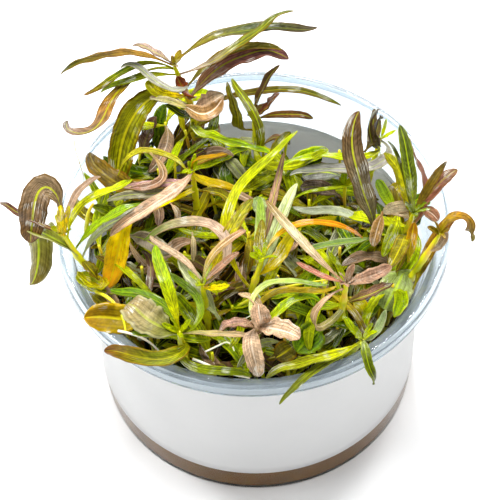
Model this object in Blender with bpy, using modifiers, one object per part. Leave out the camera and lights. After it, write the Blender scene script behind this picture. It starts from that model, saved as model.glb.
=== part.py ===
"""Hygrophila tissue culture cup: a clear tub with a paper sleeve, a floor of nutrient gel,
and a crowd of leafy shoots that have grown up out of it and over its rim.

Metres, +Z up.  The origin is the middle of the tub's flat underside, which stands on the table.
"""
import math

import bmesh
import bpy
from mathutils import Vector
from mathutils.geometry import intersect_point_line
from mathutils.kdtree import KDTree

MM = 0.001
GAP = 0.3 * MM                      # clearance between pieces that touch

# Tub
RIM_RADIUS = 50.5 * MM
CUP_HEIGHT = 63 * MM
SKIRT_DEPTH = 3.8 * MM              # the rim's outer edge turns down this far
MOUTH_RADIUS = 47 * MM              # top of the seat that the lid presses into
MOUTH_DROP = 2.2 * MM               # how far the mouth lies below the crest of the rim
SEAT_RADIUS = 45.6 * MM             # foot of the lid seat
SEAT_HEIGHT = 53.5 * MM
BODY_TOP_RADIUS = 42.7 * MM
BODY_TOP_HEIGHT = 50.8 * MM
BASE_RADIUS = 42 * MM
FOOT_CHAMFER = 1.2 * MM
WALL = 0.8 * MM
FLOOR = 1.2 * MM
TURN_STEPS = 48

# Sleeve and gel
LABEL_BOTTOM = 9 * MM
LABEL_TOP = 50.4 * MM
LABEL_THICKNESS = 0.35 * MM
GEL_TOP = 12 * MM
GEL_MENISCUS = 0.9 * MM             # the gel creeps this far up the wall

# Shoots
STEM_RADIUS = 1.1 * MM
STEM_FOOT = 12.7 * MM               # height at which a shoot leaves the gel
STEM_POINTS = 7
LEAF_THICKNESS = 0.5 * MM
LEAF_STEPS = 8                      # grid squares along a leaf
LEAF_FOLD = 0.18                    # depth of the keel, as a share of the leaf's width
STALK_SHARE = 0.22                  # width of the stalk, as a share of the leaf's width
TIP_SHARE = 0.16
BARE_SHARE = 0.06                   # length of the stalk, as a share of the leaf's length
LONG_STALKS = {                     # leaves whose blades begin further out
    "leaf_back_left_2": 0.2,
    "leaf_left_1": 0.2,
    "leaf_middle_1": 0.5,
    "leaf_inner_left_1": 0.45,
}
COURSE_STEPS = 24

# Crowd of small leaves between the shoots
CROWD_RADIUS = 39.5 * MM
CROWD_FOOT = 13.2 * MM
CROWD_SPILL_RADIUS = 43 * MM        # above the body of the tub it spreads over the lid seat
CROWD_SPILL_FOOT = 54.6 * MM
CROWD_NECK = 49.5 * MM              # height below which it keeps to the tub's body
CROWD_TOP = 59.5 * MM
CROWD_LUMP = 2.2 * MM
CROWD_RINGS = 8
CROWD_SECTORS = 30
CROWD_CLEARANCE = 2.1 * MM          # it stays this far below the large leaves
CROWD_REACH = 6.0 * MM              # and feels a leaf at this distance sideways
BACK_GAP_HEADING = 66               # degrees: no leaves fill the tub's back right
BACK_GAP_SHARE = 0.36               # the hollow takes this share of the radius
BACK_GAP_SPREAD = 30                # degrees
BORE_CLEARANCE = 0.7 * MM          # between a shoot and the crowd that it grows through
BORE_EXTRA = 8 * MM

COLOURS = {
    "clear polypropylene": (0.90, 0.93, 0.95),
    "white paper": (0.90, 0.90, 0.88),
    "nutrient gel": (0.19, 0.12, 0.07),
    "stem green": (0.33, 0.32, 0.03),
    "crowd green": (0.07, 0.11, 0.01),
    "bright green": (0.30, 0.44, 0.01),
    "mid green": (0.13, 0.22, 0.01),
    "olive": (0.17, 0.15, 0.02),
    "purple brown": (0.12, 0.06, 0.05),
    "pink cream": (0.62, 0.34, 0.22),
    "grey green": (0.25, 0.27, 0.20),
    "yellow": (0.60, 0.45, 0.02),
}

# Each shoot: the points its stem passes, in mm from the foot up, and its large leaves.  A leaf's row:
# number, height on the stem (mm), then its course: heading from +X (degrees), rise from level,
# droop along its length, sweep of the heading, extra sweep near the tip, length (mm), width (mm),
# colour.
SHOOTS = {
    "back_left": (
        [(-13, 26), (-14, 30, 46), (-15, 32, 71), (-19, 33, 87)],
        [
            (1, 86, 173, 40, 85, 20, -15, 32, 2.2, "olive"),
            (2, 85, 146, -15, -15, 235, -335, 41, 3.4, "mid green"),
            (3, 87, 40, 20, 50, -70, 80, 42, 2.4, "mid green"),
            (4, 83, 348, 30, 25, 90, -65, 35, 2.4, "olive"),
            (5, 73, 13, 70, 105, 20, -50, 33, 4.2, "purple brown"),
            (6, 73, 307, 65, -5, -190, 25, 14, 3.6, "purple brown"),
            (7, 71, 275, 40, 25, 175, -65, 12, 5.0, "pink cream"),
            (8, 78, 179, 0, 50, 125, -60, 35, 6.5, "olive"),
            (9, 65, 257, 45, 60, 140, -65, 32, 3.2, "bright green"),
            (10, 69, 2, 35, 55, -5, -25, 41, 1.8, "olive"),
        ],
    ),
    "back": (
        [(3, 20), (2, 25, 46), (1, 27, 73)],
        [
            (1, 73, 9, 80, 20, -5, -10, 20, 2.0, "purple brown"),
            (2, 65, 265, 5, -195, 90, -80, 36, 2.2, "mid green"),
        ],
    ),
    "left": (
        [(-30, -8), (-37, -12, 46), (-41, -14, 63), (-44, -15, 71), (-47, -14, 80)],
        [
            (1, 79, 24, 120, 265, 280, 245, 37, 4.4, "purple brown"),
            (2, 79, 154, 10, 40, -25, -10, 23, 1.8, "purple brown"),
            (3, 71, 185, 80, 290, -145, 30, 34, 4.6, "olive"),
            (4, 77, 87, 45, 75, -135, 140, 26, 2.2, "bright green"),
            (5, 73, 37, 50, 80, -20, 35, 23, 2.0, "mid green"),
        ],
    ),
    "middle": (
        [(-12, 4), (-14, 7, 46), (-15, 8, 75)],
        [
            (1, 67, 237, 45, 105, -50, 120, 42, 5.4, "yellow"),
            (2, 75, 267, 35, 75, -110, 55, 32, 3.0, "pink cream"),
        ],
    ),
    "centre": (
        [(2, -12), (0, -20, 46), (-1, -24, 67), (2, -24, 80)],
        [
            (1, 67, 149, 40, 30, -190, 95, 48, 3.0, "bright green"),
            (2, 78, 68, 40, 95, -125, 75, 33, 1.6, "yellow"),
        ],
    ),
    "inner_left": (
        [(-10, -18), (-12, -24, 46), (-13, -28, 76)],
        [
            (1, 63, 180, 25, 45, 0, 30, 32, 6.3, "yellow"),
            (2, 75, 9, 30, 70, 280, -115, 40, 2.2, "bright green"),
        ],
    ),
    "front_left": (
        [(-14, -22), (-18, -31, 46), (-19, -38, 70)],
        [
            (1, 69, 104, 65, 70, 15, -30, 24, 2.8, "bright green"),
            (2, 69, 203, 50, 85, -130, 60, 18, 8.0, "grey green"),
            (3, 61, 311, 55, 100, -270, 115, 33, 3.6, "mid green"),
        ],
    ),
    "front": (
        [(0, -24), (-1, -32, 46), (0, -39, 73)],
        [
            (1, 72, 324, 40, 65, 35, -30, 12, 4.6, "pink cream"),
            (2, 71, 235, 45, 125, 95, -60, 15, 4.0, "pink cream"),
        ],
    ),
    "pink": (
        [(16, -20), (20, -27, 46), (22, -32, 80)],
        [
            (1, 79, 153, 40, 70, -55, 15, 33, 2.0, "pink cream"),
            (2, 79, 329, 50, 55, 80, -15, 13, 3.0, "pink cream"),
        ],
    ),
    "front_right": (
        [(20, -28), (22, -31, 46), (24.5, -36, 58), (26, -39, 65)],
        [
            (1, 65, 265, 60, 160, 25, 65, 16, 2.2, "bright green"),
            (2, 64, 232, 30, 65, -85, 55, 28, 2.4, "mid green"),
            (3, 58, 241, 50, 85, -50, 40, 30, 2.2, "bright green"),
        ],
    ),
    "right": (
        [(30, -14), (34.5, -16.5, 46), (39, -18, 61), (46, -16, 77)],
        [
            (1, 62, 255, 15, -40, -20, -135, 21, 6.0, "grey green"),
            (2, 75, 55, 75, 215, -55, -325, 20, 2.4, "olive"),
        ],
    ),
    "right_back": (
        [(30, 0), (36, -3, 46), (40, -8, 75)],
        [
            (1, 63, 264, 55, 45, -15, -10, 24, 3.4, "olive"),
            (2, 75, 107, 80, 50, -10, 10, 24, 2.9, "mid green"),
            (3, 66, 6, 40, -35, 220, -65, 29, 1.6, "pink cream"),
            (4, 73, 32, 50, 55, 25, -30, 17, 2.9, "purple brown"),
        ],
    ),
    "far_right": (
        [(24, 4), (29, -1, 46), (31, -7, 65)],
        [
            (1, 63, 148, 85, 55, -50, -50, 37, 4.4, "purple brown"),
        ],
    ),
    "back_right": (
        [(22, 16), (30, 21, 46), (34, 25, 64)],
        [
            (1, 61, 284, 45, 50, -205, 180, 39, 2.4, "bright green"),
            (2, 63, 310, 30, 35, -240, 150, 39, 3.0, "grey green"),
        ],
    ),
}




def clear_scene():
    for thing in list(bpy.data.objects):
        bpy.data.objects.remove(thing, do_unlink=True)


def new_collection(name):
    collection = bpy.data.collections.new(name)
    bpy.context.scene.collection.children.link(collection)
    return collection


def finish_of(name, roughness, metallic=0.0, alpha=1.0):
    material = bpy.data.materials.get(name)
    if material:
        return material
    material = bpy.data.materials.new(name)
    material.use_nodes = True
    shader = material.node_tree.nodes["Principled BSDF"]
    shader.inputs["Base Color"].default_value = (*COLOURS[name], 1.0)
    shader.inputs["Roughness"].default_value = roughness
    shader.inputs["Metallic"].default_value = metallic
    shader.inputs["Alpha"].default_value = alpha
    return material


def add_object(name, data, collection, material=None):
    thing = bpy.data.objects.new(name, data)
    collection.objects.link(thing)
    if material:
        data.materials.append(material)
    return thing


def turned(name, profile, closed, collection, material, steps=TURN_STEPS):
    """Turns a profile of (radius, height) points, listed down its outer side, round the Z axis."""
    mesh = bpy.data.meshes.new(name)
    shape = bmesh.new()
    corners = [shape.verts.new((radius, 0, height)) for radius, height in profile]
    for first, second in zip(corners, corners[1:]):
        shape.edges.new((first, second))
    if closed:
        shape.edges.new((corners[-1], corners[0]))
    shape.to_mesh(mesh)
    shape.free()
    thing = add_object(name, mesh, collection, material)
    screw = thing.modifiers.new("turn", "SCREW")
    screw.steps = steps
    screw.render_steps = steps
    screw.use_merge_vertices = True
    screw.merge_threshold = 0.01 * MM
    screw.use_smooth_shade = True
    return thing


def make_cup(collection):
    """The tub's section, from the middle of its floor up the inside, over the rim and down outside."""
    mouth = CUP_HEIGHT - MOUTH_DROP
    crest = 1.2 * MM                # width of the flat top of the rim's roll
    inside = [
        (0, FLOOR),
        (BASE_RADIUS - WALL - FOOT_CHAMFER, FLOOR),
        (BASE_RADIUS - WALL, FLOOR + FOOT_CHAMFER),
        (BODY_TOP_RADIUS - WALL, BODY_TOP_HEIGHT),
        (SEAT_RADIUS - WALL, SEAT_HEIGHT),
        (MOUTH_RADIUS, mouth),
    ]
    rim = [
        (RIM_RADIUS - crest, CUP_HEIGHT),
        (RIM_RADIUS - 0.3 * crest, CUP_HEIGHT - 0.3 * MM),
        (RIM_RADIUS, CUP_HEIGHT - 1.2 * MM),
        (RIM_RADIUS, CUP_HEIGHT - SKIRT_DEPTH),
        (RIM_RADIUS - WALL, CUP_HEIGHT - SKIRT_DEPTH),
        (RIM_RADIUS - WALL, CUP_HEIGHT - 1.4 * MM),
        (MOUTH_RADIUS + WALL, mouth - 0.4 * MM),
    ]
    outside = [
        (SEAT_RADIUS, SEAT_HEIGHT),
        (BODY_TOP_RADIUS, BODY_TOP_HEIGHT),
        (BASE_RADIUS, FOOT_CHAMFER),
        (BASE_RADIUS - FOOT_CHAMFER, 0),
        (0, 0),
    ]
    clear = finish_of("clear polypropylene", 0.12, alpha=0.35)
    return turned("cup", inside + rim + outside, False, collection, clear)


def wall_radius(height):
    """Outer radius of the tub's body at a height."""
    share = (height - FOOT_CHAMFER) / (BODY_TOP_HEIGHT - FOOT_CHAMFER)
    return BASE_RADIUS + share * (BODY_TOP_RADIUS - BASE_RADIUS)


def make_label(collection):
    inner = [wall_radius(height) + GAP for height in (LABEL_TOP, LABEL_BOTTOM)]
    section = [
        (inner[0], LABEL_TOP),
        (inner[0] + LABEL_THICKNESS, LABEL_TOP),
        (inner[1] + LABEL_THICKNESS, LABEL_BOTTOM),
        (inner[1], LABEL_BOTTOM),
    ]
    return turned("label", section, True, collection, finish_of("white paper", 0.45))


def make_gel(collection):
    """The gel fills the tub's foot and creeps a little up its wall."""
    foot = BASE_RADIUS - WALL - FOOT_CHAMFER - GAP
    side = wall_radius(GEL_TOP) - WALL - GAP
    section = [
        (0, GEL_TOP),
        (side - 3 * GEL_MENISCUS, GEL_TOP),
        (side, GEL_TOP + GEL_MENISCUS),
        (BASE_RADIUS - WALL - GAP, FLOOR + FOOT_CHAMFER + GAP),
        (foot, FLOOR + GAP),
        (0, FLOOR + GAP),
    ]
    return turned("nutrient_gel", section, False, collection, finish_of("nutrient gel", 0.25))


def stem_course(points):
    """The stem's points in metres: the first row gives only X and Y, at the top of the gel."""
    foot = Vector((points[0][0] * MM, points[0][1] * MM, STEM_FOOT))
    return [foot] + [Vector(point) * MM for point in points[1:]]


def stem_at(points, height):
    """Where the stem's middle line is at a height."""
    course = stem_course(points)
    for low, high in zip(course, course[1:]):
        if height <= high.z or high is course[-1]:
            share = (height - low.z) / (high.z - low.z)
            return low.lerp(high, share)


def tube(name, points, radius, collection, material=None):
    curve = bpy.data.curves.new(name, "CURVE")
    curve.dimensions = "3D"
    curve.bevel_depth = radius
    curve.bevel_resolution = 1
    curve.use_fill_caps = True
    line = curve.splines.new("POLY")
    line.points.add(len(points) - 1)
    for spot, point in zip(line.points, points):
        spot.co = (*point, 1)
    return add_object(name, curve, collection, material)


def stem_line(points, extra=0.0):
    """Evenly spaced points up the stem; extra lengthens it straight on at both ends."""
    top = points[-1][2] * MM
    rise = (top - STEM_FOOT) / (STEM_POINTS - 1)
    line = [stem_at(points, STEM_FOOT + step * rise) for step in range(STEM_POINTS)]
    if extra:
        line[0] += (line[0] - line[1]).normalized() * extra
        line[-1] += (line[-1] - line[-2]).normalized() * extra
    return line


def make_stem(name, points, collection):
    return tube(name, stem_line(points), STEM_RADIUS, collection, finish_of("stem green", 0.35))


def leaf_course(points, row):
    """The leaf's middle line from its stem's axis to its tip, as (place, heading, pitch)."""
    height, heading, rise, droop, sweep, hook, length = row[1:8]
    place = stem_at(points, height * MM)
    course = [(place, math.radians(heading), math.radians(rise))]
    for step in range(COURSE_STEPS):
        share = (step + 0.5) / COURSE_STEPS
        turn = math.radians(heading + sweep * share + hook * share ** 4)
        pitch = math.radians(rise - droop * share)
        ahead = Vector((math.cos(turn), math.sin(turn), 0)) * math.cos(pitch)
        ahead.z = math.sin(pitch)
        place = place + ahead * length * MM / COURSE_STEPS
        course.append((place, turn, pitch))
    return course


def stem_distance(line, place):
    """Distance from a place to a stem's middle line."""
    nearest = math.inf
    for low, high in zip(line, line[1:]):
        _, share = intersect_point_line(place, low, high)
        spot = low.lerp(high, min(max(share, 0.0), 1.0))
        nearest = min(nearest, (place - spot).length)
    return nearest


def free_course(points, row):
    """The stretch of the course that is clear of the stem, where the leaf's sheet begins."""
    course = leaf_course(points, row)
    line = stem_line(points)
    clear = STEM_RADIUS + GAP + LEAF_THICKNESS
    start = 0
    while stem_distance(line, course[start][0]) < clear:
        start += 1
    return course[start:]


def blade_width(along, bare):
    """A long blade with a blunt tip on a narrow stalk, as a share of the widest place."""
    blade = min(max((along - bare) / (1 - bare), 0.0), 1.0)
    swell = max(math.sin(0.5 * math.pi * min(blade / 0.4, 1.0)) ** 1.2, STALK_SHARE)
    taper = max(1 - max((blade - 0.45) / 0.55, 0.0) ** 2.4, 0.0) ** 0.7
    return max(swell * taper, TIP_SHARE)


def leaf_place(course, row, along, across, bare=BARE_SHARE):
    """A point of a leaf's middle sheet: along runs 0 to 1 from stalk to tip, across -1 to 1."""
    at = along * (len(course) - 1)
    index = min(int(at), len(course) - 2)
    low, high = course[index], course[index + 1]
    place = low[0].lerp(high[0], at - index)
    turn = low[1] + (high[1] - low[1]) * (at - index)
    pitch = low[2] + (high[2] - low[2]) * (at - index)
    sideways = Vector((-math.sin(turn), math.cos(turn), 0))
    upward = Vector((-math.cos(turn), -math.sin(turn), 0)) * math.sin(pitch)
    upward.z = math.cos(pitch)
    half = 0.5 * row[8] * MM * blade_width(along, bare)
    return place + half * (sideways * across + upward * abs(across) * 2 * LEAF_FOLD)


def make_leaf(name, points, row, collection):
    """A grid bent along the leaf's course, then thickened."""
    mesh = bpy.data.meshes.new(name)
    shape = bmesh.new()
    bmesh.ops.create_grid(shape, x_segments=LEAF_STEPS, y_segments=2, size=1)
    course = free_course(points, row)
    bare = LONG_STALKS.get(name, BARE_SHARE)
    for corner in shape.verts:
        corner.co = leaf_place(course, row, (corner.co.x + 1) / 2, corner.co.y, bare)
    shape.to_mesh(mesh)
    shape.free()
    mesh.shade_smooth()
    thing = add_object(name, mesh, collection, finish_of(row[9], 0.35))
    sheet = thing.modifiers.new("thickness", "SOLIDIFY")
    sheet.thickness = LEAF_THICKNESS
    sheet.offset = 0
    return thing


def large_leaves():
    """Every large leaf as (name, its stem's points, its row)."""
    for shoot, (points, rows) in SHOOTS.items():
        for row in rows:
            yield f"leaf_{shoot}_{row[0]}", points, row


def leaf_spots():
    """Places spread over the large leaves: a plan of where they are, and how high each one is."""
    places = []
    for name, points, row in large_leaves():
        course = free_course(points, row)
        for step in range(2 * LEAF_STEPS + 1):
            along = step / (2 * LEAF_STEPS)
            places.extend(leaf_place(course, row, along, across) for across in (-1, 0, 1))
    plan = KDTree(len(places))
    for index, place in enumerate(places):
        plan.insert((place.x, place.y, 0), index)
    plan.balance()
    return plan, [place.z for place in places]


def crowd_height(x, y, plan, heights):
    """Lumpy top of the crowd, pressed down below the leaves that lie over it."""
    lumps = math.sin(210 * x + 1.3) * math.cos(170 * y - 0.4)
    lumps += 0.6 * math.sin(330 * (x + y)) + 0.5 * math.cos(390 * x - 260 * y)
    top = CROWD_TOP + CROWD_LUMP * lumps
    for _, index, _ in plan.find_range((x, y, 0), CROWD_REACH):
        top = min(top, heights[index] - CROWD_CLEARANCE)
    return max(top, CROWD_SPILL_FOOT + CROWD_CLEARANCE)


def crowd_reach(heading):
    """The crowd reaches the wall, but leaves a hollow at the tub's back right."""
    off = (heading - math.radians(BACK_GAP_HEADING)) / math.radians(BACK_GAP_SPREAD)
    return 1 - BACK_GAP_SHARE * math.exp(-off * off)


def make_crowd(collection, cutters):
    """A turned drum whose top is raised into lumps, bored where the shoots grow through it."""
    section = [(CROWD_SPILL_RADIUS * ring / CROWD_RINGS, CROWD_TOP) for ring in range(CROWD_RINGS + 1)]
    section.append((CROWD_SPILL_RADIUS, CROWD_SPILL_FOOT))
    section += [(CROWD_RADIUS, CROWD_NECK), (CROWD_RADIUS, CROWD_FOOT), (0, CROWD_FOOT)]
    drum = turned("drum", section, False, cutters, None, CROWD_SECTORS)
    mesh = bpy.data.meshes.new_from_object(drum.evaluated_get(bpy.context.evaluated_depsgraph_get()))
    bpy.data.objects.remove(drum, do_unlink=True)
    plan, heights = leaf_spots()
    for corner in mesh.vertices:
        reach = crowd_reach(math.atan2(corner.co.y, corner.co.x))
        corner.co.x *= reach
        corner.co.y *= reach
        if corner.co.z > CROWD_SPILL_FOOT + GAP:
            corner.co.z = crowd_height(corner.co.x, corner.co.y, plan, heights)
    mesh.name = "inner_leaves"
    crowd = add_object("inner_leaves", mesh, collection, finish_of("crowd green", 0.5))
    bores = crowd.modifiers.new("bores", "BOOLEAN")
    bores.operation = "DIFFERENCE"
    bores.operand_type = "COLLECTION"
    bores.collection = cutters
    bores.solver = "EXACT"
    return crowd


def make_bore(name, points, cutters):
    """A cutter round one stem, longer than the stem at both ends."""
    curve = tube(name + "_curve", stem_line(points, BORE_EXTRA), STEM_RADIUS + BORE_CLEARANCE, cutters)
    bpy.context.view_layer.update()
    mesh = bpy.data.meshes.new_from_object(curve.evaluated_get(bpy.context.evaluated_depsgraph_get()))
    bpy.data.objects.remove(curve, do_unlink=True)
    shape = bmesh.new()
    shape.from_mesh(mesh)
    bmesh.ops.remove_doubles(shape, verts=shape.verts, dist=0.01 * MM)
    shape.to_mesh(mesh)
    shape.free()
    bore = add_object(name, mesh, cutters)
    bore.hide_render = True
    bore.display_type = "WIRE"
    return bore


def build():
    clear_scene()
    collection = new_collection("hygrophila_cup")
    cutters = new_collection("cutters")
    make_cup(collection)
    make_label(collection)
    make_gel(collection)
    for shoot, (points, rows) in SHOOTS.items():
        make_stem("stem_" + shoot, points, collection)
    for name, points, row in large_leaves():
        make_leaf(name, points, row, collection)
    for shoot, (points, rows) in SHOOTS.items():
        make_bore("bore_" + shoot, points, cutters)
    make_crowd(collection, cutters)


build()
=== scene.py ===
import math
import random

import bpy
import numpy as np
from mathutils import Matrix, Vector


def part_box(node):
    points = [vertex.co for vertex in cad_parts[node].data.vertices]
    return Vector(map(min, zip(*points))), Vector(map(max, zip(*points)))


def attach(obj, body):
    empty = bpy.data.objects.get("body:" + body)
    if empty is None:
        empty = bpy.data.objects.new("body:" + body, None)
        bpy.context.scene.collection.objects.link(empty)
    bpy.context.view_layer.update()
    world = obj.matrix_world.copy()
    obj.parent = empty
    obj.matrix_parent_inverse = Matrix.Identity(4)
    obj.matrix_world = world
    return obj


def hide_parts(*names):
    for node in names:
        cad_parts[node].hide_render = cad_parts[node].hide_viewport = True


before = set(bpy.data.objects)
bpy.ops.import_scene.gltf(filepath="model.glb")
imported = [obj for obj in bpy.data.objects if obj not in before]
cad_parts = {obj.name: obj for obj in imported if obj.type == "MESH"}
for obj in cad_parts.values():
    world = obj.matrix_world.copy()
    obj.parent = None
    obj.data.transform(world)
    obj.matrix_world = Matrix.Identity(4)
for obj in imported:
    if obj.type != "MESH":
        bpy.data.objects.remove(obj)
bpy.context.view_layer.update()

MM = 0.001

# The studio: a white laminate table, four soft boxes above, beside and in front of it, and three small
# lamps whose glints lie on the wet leaves. The camera looks down on the tub from the front, 0.6 m from
# the middle of its rim and rolled a little to one side.
CAMERA_REACH = 0.6
CAMERA_TILT = math.radians(53.47)
CAMERA_ROLL = math.radians(-2.13)
CAMERA_LENS = 169.25
SURROUND_LIGHT = 0.38
TABLE_HALF = 1.5
rim_middle = Vector((0, 0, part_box("cup")[1].z))
aim = rim_middle + Vector((-1.1, -9.0, 0)) * MM

camera = bpy.data.objects.new("camera", bpy.data.cameras.new("camera"))
bpy.context.scene.collection.objects.link(camera)
bpy.context.scene.camera = camera
camera.data.lens = CAMERA_LENS
camera.data.clip_start = 0.01
camera.location = rim_middle + CAMERA_REACH * Vector((0, -math.cos(CAMERA_TILT), math.sin(CAMERA_TILT)))
looking = (aim - camera.location).to_track_quat("-Z", "Y").to_matrix()
camera.rotation_euler = (looking @ Matrix.Rotation(CAMERA_ROLL, 3, "Z")).to_euler()

LAMPS = {
    # place and side in metres, watts
    "soft_box_above": ((-0.12, 0.16, 0.80), 0.30, 4.3),
    "soft_box_left": ((-0.60, -0.10, 0.36), 0.30, 1.3),
    "soft_box_right": ((0.58, 0.00, 0.36), 0.30, 1.3),
    "soft_box_front": ((-0.08, -0.55, 0.50), 0.25, 0.8),
    "glint_right": ((0.20, 0.10, 0.66), 0.09, 2.5),
    "glint_left": ((-0.28, 0.06, 0.62), 0.09, 2.5),
    "glint_back": ((0.02, 0.40, 0.56), 0.09, 2.5),
}
for name, (place, side, watts) in LAMPS.items():
    lamp = bpy.data.objects.new(name, bpy.data.lights.new(name, "AREA"))
    bpy.context.scene.collection.objects.link(lamp)
    lamp.data.size = side
    lamp.data.energy = watts
    lamp.location = place
    lamp.rotation_euler = (rim_middle - lamp.location).to_track_quat("-Z", "Y").to_euler()
    # Only the small lamps show in the gloss, so the leaves stay dark between their glints.
    lamp.visible_glossy = name.startswith("glint")


def linear(colour):
    """A hex sRGB colour as the linear values that shaders take."""
    parts = [int(colour[at:at + 2], 16) / 255 for at in (1, 3, 5)]
    return (*(c / 12.92 if c <= 0.04045 else ((c + 0.055) / 1.055) ** 2.4 for c in parts), 1)


def add_node(tree, kind, inputs=None, **settings):
    """Adds a shader node: its settings, then its inputs by name or number. Each input is a value, a socket
    to link, or a node whose first output is linked."""
    made = tree.nodes.new("ShaderNode" + kind)
    for key, value in settings.items():
        setattr(made, key, value)
    for key, value in (inputs or {}).items():
        if isinstance(value, bpy.types.Node):
            value = next(socket for socket in value.outputs if socket.enabled)
        if isinstance(value, bpy.types.NodeSocket):
            tree.links.new(value, made.inputs[key])
        else:
            made.inputs[key].default_value = value
    return made


def new_material(name):
    """An empty material and its node tree."""
    material = bpy.data.materials.new(name)
    material.use_nodes = True
    material.node_tree.nodes.clear()
    return material, material.node_tree


def new_piece(name, vertices, faces, material, body="root"):
    """A smooth mesh of one material that rides on a body of the frame, or on none."""
    mesh = bpy.data.meshes.new(name)
    mesh.from_pydata([tuple(v) for v in vertices], [], faces)
    mesh.shade_smooth()
    mesh.materials.append(material)
    piece = bpy.data.objects.new(name, mesh)
    bpy.context.scene.collection.objects.link(piece)
    if body:
        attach(piece, body)
    return piece


world = bpy.data.worlds.new("studio")
bpy.context.scene.world = world
world.use_nodes = True
surround = world.node_tree.nodes["Background"]
surround.inputs["Color"].default_value = linear("#ffffff")
surround.inputs["Strength"].default_value = SURROUND_LIGHT
bpy.context.scene.view_settings.view_transform = "Standard"

table_top, tree = new_material("white_laminate")
# Matt laminate, an even near-white that takes a soft shadow.
dust = add_node(tree, "TexNoise", {"Scale": 40.0, "Detail": 3.0})
shade = add_node(tree, "Mix", {"Factor": dust, "A": linear("#ebebeb"), "B": linear("#f0f0f0")},
    data_type="RGBA")
white = add_node(tree, "BsdfPrincipled", {"Base Color": shade, "Roughness": 0.9})
add_node(tree, "OutputMaterial", {"Surface": white})
corners = [(-TABLE_HALF, -TABLE_HALF, 0), (TABLE_HALF, -TABLE_HALF, 0)]
corners += [(TABLE_HALF, TABLE_HALF, 0), (-TABLE_HALF, TABLE_HALF, 0)]
table = new_piece("table_top", corners, [(0, 1, 2, 3)], table_top, None)


# The tub: one moulding of clear polypropylene, 0.8 mm thick, with a rolled rim, a conical seat that
# the lid presses into, and a body that narrows a little towards its foot.
cup_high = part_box("cup")[1]
RIM_RADIUS = cup_high.x
CUP_HEIGHT = cup_high.z
WALL = 0.8 * MM
MOUTH_RADIUS = 46.2 * MM
SEAT_RADIUS = 45.2 * MM
SEAT_HEIGHT = 53.5 * MM
BODY_TOP_RADIUS = 42.7 * MM
BODY_TOP_HEIGHT = 50.8 * MM
BASE_RADIUS = 42 * MM
FLOOR = 0.9 * MM
TURN_STEPS = 144
FLANGE_CLARITY = 0.86


def bend(middle, radius, start, end, points=5):
    """Points along an arc of a turned profile: middle is (radius, height), angles are in degrees."""
    angles = [math.radians(start + (end - start) * at / (points - 1)) for at in range(points)]
    return [(middle[0] + radius * math.cos(a), middle[1] + radius * math.sin(a)) for a in angles]


def turned(name, profile, material, steps=TURN_STEPS):
    """A profile of (radius, height) points, turned round the cup's axis. Its ends lie on the axis."""
    ring = [(math.cos(2 * math.pi * s / steps), math.sin(2 * math.pi * s / steps)) for s in range(steps)]
    inner = profile[1:-1]
    vertices = [(r * c, r * s, z) for r, z in inner for c, s in ring]
    faces = []
    for row in range(len(inner) - 1):
        for at in range(steps):
            near, far = row * steps + at, row * steps + (at + 1) % steps
            faces.append((near, near + steps, far + steps, far))
    vertices += [(0, 0, profile[0][1]), (0, 0, profile[-1][1])]
    first, last = len(vertices) - 2, len(vertices) - 1
    foot = (len(inner) - 1) * steps
    for at in range(steps):
        faces.append((at, (at + 1) % steps, first))
        faces.append((foot + (at + 1) % steps, foot + at, last))
    piece = new_piece(name, vertices, faces, material)
    piece.data.set_sharp_from_angle(angle=math.radians(38))
    return piece


clear_plastic, tree = new_material("clear_polypropylene")
# The wall is clear, and the thicker flange, which cools slowly, is milky and bluish. The mould's turning
# marks run round both as fine rings.
here = add_node(tree, "TexCoord")
split = add_node(tree, "SeparateXYZ", {0: here.outputs["Object"]})
milky = add_node(tree, "MapRange", {"Value": split.outputs["Z"], "From Min": BODY_TOP_HEIGHT - 1 * MM,
    "From Max": BODY_TOP_HEIGHT + 1 * MM})
marks = add_node(tree, "TexNoise", {"W": split.outputs["Z"], "Scale": 1800.0, "Detail": 2.0},
    noise_dimensions="1D")
haze = add_node(tree, "TexNoise", {"Vector": here.outputs["Object"], "Scale": 60.0, "Detail": 2.0})
frost = add_node(tree, "MapRange", {"Value": haze, "To Min": 0.03, "To Max": 0.14})
clarity = add_node(tree, "MapRange", {"Value": milky, "To Min": 1.0, "To Max": FLANGE_CLARITY})
tint = add_node(tree, "Mix", {"Factor": milky, "A": linear("#fafcfb"), "B": linear("#cdd8df")},
    data_type="RGBA")
relief = add_node(tree, "Bump", {"Height": marks, "Distance": 0.02 * MM, "Strength": 0.25})
shell = add_node(tree, "BsdfPrincipled", {"Base Color": tint, "Roughness": frost, "Normal": relief,
    "IOR": 1.27, "Transmission Weight": clarity})
add_node(tree, "OutputMaterial", {"Surface": shell})

# The profile runs from the middle of the floor up the inside, over the rolled rim and down the outside.
mouth = CUP_HEIGHT - 2.2 * MM
roll = 1.3 * MM
profile = [(0, FLOOR), (BASE_RADIUS - 3.2 * MM, FLOOR)]
profile += bend((BASE_RADIUS - WALL - 0.8 * MM, FLOOR + 0.8 * MM), 0.8 * MM, -90, 0)
profile += [(BODY_TOP_RADIUS - WALL, BODY_TOP_HEIGHT - 0.4 * MM)]
profile += [(BODY_TOP_RADIUS, BODY_TOP_HEIGHT + 0.3 * MM)]
profile += [(SEAT_RADIUS - WALL - 0.4 * MM, SEAT_HEIGHT - 0.5 * MM), (SEAT_RADIUS - WALL, SEAT_HEIGHT)]
profile += [(MOUTH_RADIUS - 0.1 * MM, mouth - 0.3 * MM), (MOUTH_RADIUS + 0.3 * MM, mouth + 0.2 * MM)]
profile += bend((RIM_RADIUS - roll, CUP_HEIGHT - roll), roll, 115, 0, 8)
profile += [(RIM_RADIUS, CUP_HEIGHT - 3.7 * MM), (RIM_RADIUS - 0.3 * MM, CUP_HEIGHT - 3.8 * MM)]
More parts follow.
